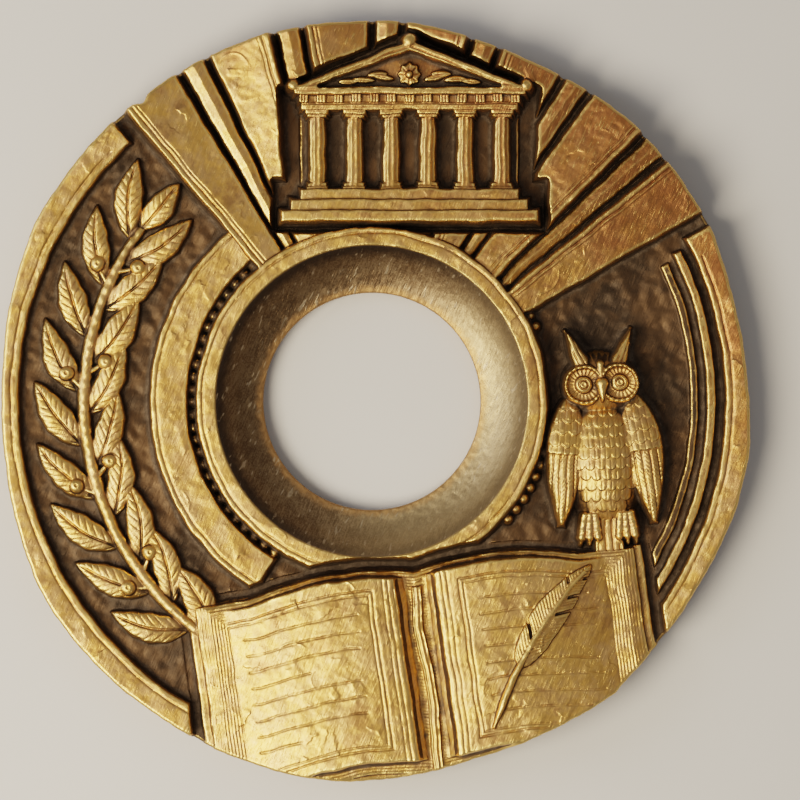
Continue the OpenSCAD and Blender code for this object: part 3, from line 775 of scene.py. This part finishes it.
# --- the motifs: each a sheet over the part of its layer that stands proud, closed below
def motif(name, px, py, layer, budget, theta=None):
    """px and py are the sheet's points. With theta, its rows run out to the rim, and the sheet goes on down the wall."""
    top = TOPS[layer]
    under = TOPS[NAMES[NAMES.index(layer) - 1]]
    z = sample(top, px, py)
    proud = z - sample(under, px, py)
    z = z - 0.03 * (1 - smooth(proud, 0, 0.06))
    close_by = blur((top - under > 0.2).astype(np.float32), 0.25)
    keep = (proud > 0.012) & (sample(close_by, px, py) > 0.02)
    if theta is not None:
        rim, edge = outline(theta), z[-1].copy()
        rows = []
        for k in range(1, 6):
            a = math.radians(18 * k)
            zz = edge - RE + RE * math.cos(a)
            rows.append((rim + bulge(theta, zz) * math.sin(a) - RE + RE * math.sin(a), zz))
        for k in range(1, 9):
            zz = (edge - RE) * (1 - k / 8) + np.minimum(2.4, edge - RE) * k / 8
            rows.append((rim + bulge(theta, zz), zz))
        px = np.vstack([px] + [r[None] * np.cos(theta) for r, zz in rows])
        py = np.vstack([py] + [r[None] * np.sin(theta) for r, zz in rows])
        z = np.vstack([z] + [zz[None] for r, zz in rows])
        keep = np.vstack([keep] + [keep[-1:]] * len(rows))
    cell = keep[:-1, :-1] | keep[1:, :-1] | keep[:-1, 1:] | keep[1:, 1:]
    cell[0], cell[:, 0], cell[:, -1] = False, False, False
    for _ in range(4):                    # no two cells meet at a corner alone
        a, b, c, d = cell[:-1, :-1], cell[:-1, 1:], cell[1:, :-1], cell[1:, 1:]
        one, two = a & d & ~b & ~c, b & c & ~a & ~d
        if not (one.any() or two.any()):
            break
        fill = one | two
        for part in (a, b, c, d):
            part |= fill
    i, j = np.nonzero(cell)
    m = px.shape[1]
    if theta is None:
        quads = np.stack([i * m + j, i * m + j + 1, (i + 1) * m + j + 1, (i + 1) * m + j], -1)
    else:
        quads = np.stack([i * m + j, (i + 1) * m + j, (i + 1) * m + j + 1, i * m + j + 1], -1)
    used, back = np.unique(quads, return_inverse=True)
    co = np.stack([px, py, z], -1).reshape(-1, 3)[used]
    ob = new_object("medal_" + name, to_mesh("medal_" + name, co, back.reshape(-1, 4)))
    lighter(ob, budget)
    print("medal_" + name, "open edges", closed_below(ob))
    dress(ob, top)


def fan(a0, a1, r0, r1, step):
    """Points on arcs round the middle; with r1 at 0 or less they run out to the rim."""
    r1 = np.asarray(r1)
    n_t = int(math.radians(a1 - a0) * 40 / step)
    th = np.radians(np.linspace(a0, a1, n_t))
    out = outline(th) - RE if r1.ndim == 0 and r1 <= 0 else np.full_like(th, float(r1))
    t = np.linspace(0, 1, int((float(out.max()) - r0) / step))[:, None]
    r = r0 + (out - r0) * t
    return r * np.cos(th), r * np.sin(th), th


def board(cx, cy, deg, x0, x1, y0, y1, step):
    """Points of a straight grid in a turned frame."""
    gx, gy = np.meshgrid(np.arange(x0, x1, step), np.arange(y0, y1, step))
    c, n = math.cos(math.radians(deg)), math.sin(math.radians(deg))
    return cx + gx * c - gy * n, cy + gx * n + gy * c


px, py, th = fan(25.5, 134.5, 17.3, 0, 0.065)
motif("rays", px, py, "rays", 130000, th)
px, py = board(T_X, 0, 0, -14.6, 14.6, 18.0, 39.4, 0.055)
motif("temple", px, py, "temple", 150000)
px, py, th = fan(129, 243, 24.2, 38.0, 0.06)
motif("laurel", px, py, "laurel", 145000)
px, py, th = fan(200, 333, 16.4, 0, 0.065)
motif("book", px, py, "book", 165000, th)
px, py = board(25, -12.6, 3, -7.4, 7.4, -4.4, 20.8, 0.05)
motif("owl", px, py, "owl", 110000)
print("all triangles", sum(len(o.data.polygons) for o in PIECES))


# ---------------------------------------------------------------- bronze
def new_material(name):
    m = bpy.data.materials.new(name)
    m.use_nodes = True
    m.node_tree.nodes.clear()
    return m, m.node_tree


class Net:
    """Short names for building a node tree."""

    def __init__(self, tree):
        self.t = tree

    def node(self, kind, **props):
        n = self.t.nodes.new(kind)
        for k, v in props.items():
            setattr(n, k, v)
        return n

    def link(self, a, b):
        self.t.links.new(a, b)

    def put(self, socket, value):
        if isinstance(value, bpy.types.NodeSocket):
            self.link(value, socket)
        else:
            socket.default_value = value

    def math(self, op, a, b=0.0, c=None, clamp=False):
        n = self.node("ShaderNodeMath", operation=op, use_clamp=clamp)
        self.put(n.inputs[0], a)
        self.put(n.inputs[1], b)
        if c is not None:
            self.put(n.inputs[2], c)
        return n.outputs[0]

    def ramp(self, value, lo, hi, out_lo=0.0, out_hi=1.0, smooth_step=True):
        n = self.node("ShaderNodeMapRange", interpolation_type="SMOOTHSTEP" if smooth_step else "LINEAR")
        self.put(n.inputs["Value"], value)
        for k, v in (("From Min", lo), ("From Max", hi), ("To Min", out_lo), ("To Max", out_hi)):
            self.put(n.inputs[k], v)
        return n.outputs["Result"]

    def mix(self, f, a, b):
        n = self.node("ShaderNodeMix", data_type="RGBA")
        self.put(n.inputs[0], f)
        self.put(n.inputs[6], a)
        self.put(n.inputs[7], b)
        return n.outputs[2]

    def noise(self, vec, scale, detail=3.0, rough=0.55):
        n = self.node("ShaderNodeTexNoise")
        self.put(n.inputs["Vector"], vec)
        n.inputs["Scale"].default_value = scale
        n.inputs["Detail"].default_value = detail
        n.inputs["Roughness"].default_value = rough
        return n.outputs["Fac"]

    def mapped(self, vec, scale=(1, 1, 1), rot=(0, 0, 0)):
        n = self.node("ShaderNodeMapping")
        self.put(n.inputs["Vector"], vec)
        n.inputs["Scale"].default_value = scale
        n.inputs["Rotation"].default_value = rot
        return n.outputs["Vector"]

    def about(self, value, mid, gain):
        """A noise's swing about its middle, times gain."""
        return self.math("MULTIPLY", self.math("SUBTRACT", value, mid), gain)

    def total(self, *parts):
        out = parts[0]
        for p in parts[1:]:
            out = self.math("ADD", out, p)
        return out


def rgb(r, g, b):
    return (r, g, b, 1.0)


mat, tree = new_material("bronze")
N = Net(tree)
coord = N.node("ShaderNodeTexCoord")
where = coord.outputs["Object"]
up = N.node("ShaderNodeSeparateXYZ")
N.link(coord.outputs["Normal"], up.inputs[0])
nz = up.outputs[2]
mm = N.mapped(where, (1000, 1000, 1000))           # millimetres
xyz = N.node("ShaderNodeSeparateXYZ")
N.link(mm, xyz.inputs[0])
x_, y_, z_ = xyz.outputs
cav = N.node("ShaderNodeAttribute", attribute_name="cavity").outputs["Fac"]
foot_ = N.node("ShaderNodeAttribute", attribute_name="foot").outputs["Fac"]
edg = N.node("ShaderNodeAttribute", attribute_name="edge").outputs["Fac"]
side = N.node("ShaderNodeAttribute", attribute_name="rim").outputs["Fac"]      # 1 on the rim's wall and the back
r_ = N.math("SQRT", N.math("ADD", N.math("MULTIPLY", x_, x_), N.math("MULTIPLY", y_, y_)))

cloud = N.noise(mm, 0.2, 4, 0.6)                   # patches of 5 mm
cloud2 = N.noise(N.mapped(mm, (1, 1, 1), (0, 0, 1.1)), 0.42, 3, 0.6)
mottle = N.noise(mm, 1.1, 4, 0.62)                 # about 1 mm
grain = N.noise(mm, 5.0, 3, 0.6)                   # about 0.2 mm
turned = N.mapped(mm, (1, 1, 1), (0, 0, math.radians(-66)))
stroke = N.noise(N.mapped(turned, (0.55, 3.2, 0.6)), 1.0, 2, 0.6)     # brush marks, long along 66 degrees
stroke2 = N.noise(N.mapped(turned, (0.9, 7.0, 1.0)), 1.0, 2, 0.6)
scratch_and_painted_glint = N.noise(N.mapped(turned, (0.75, 3.0, 0.6)), 1.0, 1, 0.5)       # the few marks that catch the light, raised a little in the bump and painted lighter in the mouth as glints
scratch_and_painted_glint = N.math("MULTIPLY", N.ramp(scratch_and_painted_glint, 0.62, 0.70), N.ramp(cloud2, 0.46, 0.56))
ridge_and_painted_glint = N.noise(N.mapped(turned, (1.0, 6.5, 0.9)), 1.0, 1, 0.5)       # many fine short ones, raised a little in the bump and painted lighter as glints
ridge_and_painted_glint = N.math("MULTIPLY", N.ramp(ridge_and_painted_glint, 0.60, 0.68), N.ramp(cloud, 0.60, 0.42, 0.25, 1.0))

# how dark the patina lies: low ground and clouds, and in the hollows and at the foot of every wall patina with painted
# shade
low = N.ramp(N.math("ADD", z_, N.about(mottle, 0.5, 1.1)), 4.35, 3.35)
# patina and painted shade in the hollows, deeper the further a point lies below its surroundings
hollow_patina_and_shade = N.ramp(cav, 0.12, 0.75)
wall = N.math("MULTIPLY", N.ramp(nz, 0.84, 0.58), N.math("SUBTRACT", 0.78, N.math("MULTIPLY", side, 0.78)))
dark = N.math("MAXIMUM", N.math("MAXIMUM", low, hollow_patina_and_shade), wall)
dark = N.math("ADD", dark, N.about(mottle, 0.5, 0.5))
sheer = N.math("MAXIMUM", N.ramp(nz, 0.12, 0.55, 0.25, 1.0), side)        # sheer walls are rubbed least
dark = N.math("SUBTRACT", dark, N.math("MULTIPLY", N.math("MULTIPLY", N.ramp(edg, 0.02, 0.12), sheer), 0.8))
dark = N.ramp(dark, 0.25, 0.85)
# near black at the foot of every wall, off the edges: patina and painted shade
foot_patina_and_shade = N.ramp(N.math("ADD", foot_, N.about(mottle, 0.5, 0.25)), 0.10, 0.42)
foot_patina_and_shade = N.math("MULTIPLY", foot_patina_and_shade, N.ramp(edg, 0.05, -0.02))

# where the metal is bright: high places and edges
way = N.math("ADD", N.math("MULTIPLY", x_, 0.66), N.math("MULTIPLY", y_, 0.75))   # towards the upper right
red = N.ramp(N.math("ADD", way, N.about(cloud, 0.5, 26.0)), 8.0, 40.0)
rub = N.math("MULTIPLY", N.ramp(edg, 0.004, 0.075), sheer)
proud = N.ramp(z_, 4.3, 6.8)

gold = N.mix(N.ramp(N.math("ADD", cloud2, N.about(mottle, 0.5, 0.5)), 0.36, 0.66), rgb(0.66, 0.365, 0.105), rgb(0.62, 0.37, 0.165))
gold = N.mix(N.math("MULTIPLY", proud, 0.30), gold, rgb(0.74, 0.46, 0.155))
gold = N.mix(N.math("MULTIPLY", N.ramp(N.math("ADD", cloud, N.about(mottle, 0.5, 0.5)), 0.52, 0.68), 0.58), gold, rgb(0.34, 0.175, 0.072))
gold = N.mix(N.math("MULTIPLY", red, 0.85), gold, rgb(0.345, 0.130, 0.052))
gold = N.mix(N.ramp(stroke, 0.36, 0.66, 0.16, 0.0), gold, rgb(0.30, 0.16, 0.07))
# bright metal rubbed bare on the edges, and painted glints on the fine strokes
gold = N.mix(N.math("MULTIPLY", N.math("MAXIMUM", rub, N.math("MULTIPLY", ridge_and_painted_glint, 0.6)), 0.75), gold, rgb(0.82, 0.555, 0.205))

patina = N.mix(N.ramp(cloud, 0.36, 0.64), rgb(0.062, 0.043, 0.028), rgb(0.120, 0.072, 0.038))
patina = N.mix(N.math("MULTIPLY", N.ramp(grain, 0.5, 0.75), 0.35), patina, rgb(0.12, 0.08, 0.048))
color = N.mix(dark, gold, patina)
# the near-black colour at the foot of the walls: patina and painted shade
color = N.mix(N.math("MULTIPLY", foot_patina_and_shade, 0.93), color, N.mix(N.ramp(N.math("ADD", mottle, N.about(grain, 0.5, 0.6)), 0.4, 0.7), rgb(0.078, 0.056, 0.038), rgb(0.150, 0.112, 0.078)))

# the mouth keeps a thin grey-brown skin, rubbed at the hole, with painted shade on its left side and under its crest,
# and painted light on its right side, which faces the lamp
in_mouth = N.ramp(r_, 16.75, 16.35)
speck = N.total(N.about(grain, 0.5, 0.9), N.about(stroke2, 0.5, 0.9), N.about(cloud2, 0.5, 0.7), 0.5)
skin = N.mix(N.ramp(speck, 0.25, 0.75), rgb(0.140, 0.090, 0.050), rgb(0.300, 0.215, 0.128))
# how far a point lies towards the mouth's left side, which is in shade (1), or towards its right side, which faces the
# lamp (-1); it sets the painted light and shade
mouth_shade_side = N.math("DIVIDE", N.math("ADD", N.math("MULTIPLY", x_, -0.90), N.math("MULTIPLY", y_, 0.44)), N.math("MAXIMUM", r_, 1.0))
# the ring under the crest that takes the painted shade
band = N.ramp(N.math("ADD", r_, N.about(mottle, 0.5, 1.2)), 14.9, 16.2)
# painted shade on the left side of the mouth
skin = N.mix(N.ramp(mouth_shade_side, -0.2, 0.8, 0.0, 0.45), skin, rgb(0.085, 0.052, 0.028))
# painted light on the right side of the mouth, which faces the lamp
skin = N.mix(N.ramp(mouth_shade_side, 0.1, -0.8, 0.0, 0.55), skin, rgb(0.53, 0.41, 0.235))
# painted shade under the crest, strongest on the mouth's shaded left side
skin = N.mix(N.math("MULTIPLY", band, N.ramp(mouth_shade_side, -0.5, 0.5, 0.45, 0.95)), skin, rgb(0.035, 0.022, 0.014))
skin = N.mix(N.math("MULTIPLY", N.ramp(N.math("ADD", r_, N.about(mottle, 0.5, 1.2)), 12.6, 11.6), 0.8), skin, rgb(0.44, 0.25, 0.105))
# painted glints on the marks in the mouth
skin = N.mix(N.math("MULTIPLY", scratch_and_painted_glint, 0.55), skin, rgb(0.50, 0.41, 0.29))
color = N.mix(in_mouth, color, skin)
dark = N.math("ADD", N.math("MULTIPLY", dark, N.math("SUBTRACT", 1.0, in_mouth)), N.math("MULTIPLY", in_mouth, 0.55))
foot_patina_and_shade = N.math("MULTIPLY", foot_patina_and_shade, N.math("SUBTRACT", 1.0, in_mouth))

# rim and back: an even brown skin, rubbed through in patches
brown = N.mix(N.ramp(N.math("ADD", cloud, N.about(mottle, 0.5, 0.45)), 0.30, 0.70), rgb(0.185, 0.100, 0.044), rgb(0.36, 0.205, 0.082))
brown = N.mix(N.math("MULTIPLY", N.ramp(stroke2, 0.5, 0.66), 0.25), brown, rgb(0.56, 0.34, 0.13))
color = N.mix(N.math("MULTIPLY", side, N.math("SUBTRACT", 1.0, rub)), color, brown)
dark = N.math("MULTIPLY", dark, N.math("SUBTRACT", 1.0, N.math("MULTIPLY", side, 0.6)))

rough = N.total(N.about(stroke, 0.5, 0.22), N.about(grain, 0.5, 0.26), N.about(cloud2, 0.5, 0.12), 0.43)
rough = N.math("ADD", rough, N.math("MULTIPLY", dark, 0.12))
rough = N.math("ADD", rough, N.math("MULTIPLY", foot_patina_and_shade, 0.15))
rough = N.math("SUBTRACT", rough, N.math("MULTIPLY", rub, 0.06))
rough = N.math("MAXIMUM", rough, 0.2)

bump_h = N.total(N.math("MULTIPLY", stroke, 0.040), N.math("MULTIPLY", stroke2, 0.016), N.math("MULTIPLY", grain, 0.012),
                 N.math("MULTIPLY", mottle, 0.026), N.math("MULTIPLY", scratch_and_painted_glint, 0.012), N.math("MULTIPLY", ridge_and_painted_glint, 0.015))
bump = N.node("ShaderNodeBump")
bump.inputs["Strength"].default_value = 1.0
bump.inputs["Distance"].default_value = 0.001
N.link(bump_h, bump.inputs["Height"])

out = N.node("ShaderNodeOutputMaterial")
bsdf = N.node("ShaderNodeBsdfPrincipled")
N.link(color, bsdf.inputs["Base Color"])
metal = N.math("SUBTRACT", N.ramp(dark, 0.2, 1.0, 1.0, 0.80), N.math("MULTIPLY", foot_patina_and_shade, 0.2), clamp=True)
N.link(metal, bsdf.inputs["Metallic"])
N.link(rough, bsdf.inputs["Roughness"])
N.link(bump.outputs["Normal"], bsdf.inputs["Normal"])
N.link(bsdf.outputs[0], out.inputs[0])
for ob in PIECES:
    ob.data.materials.clear()
    ob.data.materials.append(mat)

# ---------------------------------------------------------------- studio
floor_mesh = bpy.data.meshes.new("floor")
fs = 1.5
floor_mesh.from_pydata([(-fs, -fs, 0), (fs, -fs, 0), (fs, fs, 0), (-fs, fs, 0)], [], [(0, 1, 2, 3)])
floor = bpy.data.objects.new("floor", floor_mesh)
floor.location = (0, 0, -0.00002)
bpy.context.scene.collection.objects.link(floor)
fmat, ftree = new_material("floor")
F = Net(ftree)
fo = F.node("ShaderNodeOutputMaterial")
fb = F.node("ShaderNodeBsdfPrincipled")
fvec = F.mapped(F.node("ShaderNodeTexCoord").outputs["Object"], (1000, 1000, 1000))
F.link(F.mix(F.noise(fvec, 0.02, 3), rgb(0.60, 0.60, 0.60), rgb(0.66, 0.66, 0.66)), fb.inputs["Base Color"])
fb.inputs["Roughness"].default_value = 0.9
F.link(fb.outputs[0], fo.inputs[0])
floor_mesh.materials.append(fmat)

world = bpy.data.worlds.new("studio")
bpy.context.scene.world = world
world.use_nodes = True
bg = world.node_tree.nodes["Background"]
bg.inputs["Color"].default_value = (1.0, 0.95, 0.90, 1)
bg.inputs["Strength"].default_value = 0.24


def area(name, az, el, dist, size, power, color, aim=(0, 0, 0)):
    a, e = math.radians(az), math.radians(el)
    aim = Vector(aim)
    at = aim + Vector((math.cos(e) * math.cos(a), math.cos(e) * math.sin(a), math.sin(e))) * dist
    lamp = bpy.data.lights.new(name, "AREA")
    lamp.shape = "DISK"
    lamp.size = size
    lamp.energy = power
    lamp.color = color
    ob = bpy.data.objects.new(name, lamp)
    ob.location = at
    ob.rotation_euler = (aim - at).to_track_quat("-Z", "Y").to_euler()
    bpy.context.scene.collection.objects.link(ob)
    return ob


area("key", 211, 55, 0.33, 0.23, 1.47, (1.0, 0.85, 0.64), (-0.018, -0.012, 0))
area("side", 168, 30, 0.60, 0.30, 0.9, (0.95, 0.95, 1.0))
area("fill", 40, 60, 0.8, 0.5, 0.2, (1.0, 0.97, 0.94))

cam = bpy.data.cameras.new("camera")
cam.sensor_width = 36.0
cam_d = 0.42
cam.lens = 36.0 * (cam_d - 0.005) / 0.0846
cam_ob = bpy.data.objects.new("camera", cam)
cam_ob.location = (0.0030, 0.00015, cam_d)
cam_ob.rotation_euler = (0, 0, 0)
cam.clip_start = 0.01
cam.clip_end = 10
bpy.context.scene.collection.objects.link(cam_ob)
bpy.context.scene.camera = cam_ob
bpy.context.scene.view_settings.view_transform = "Filmic"
bpy.context.scene.view_settings.look = "Medium High Contrast"
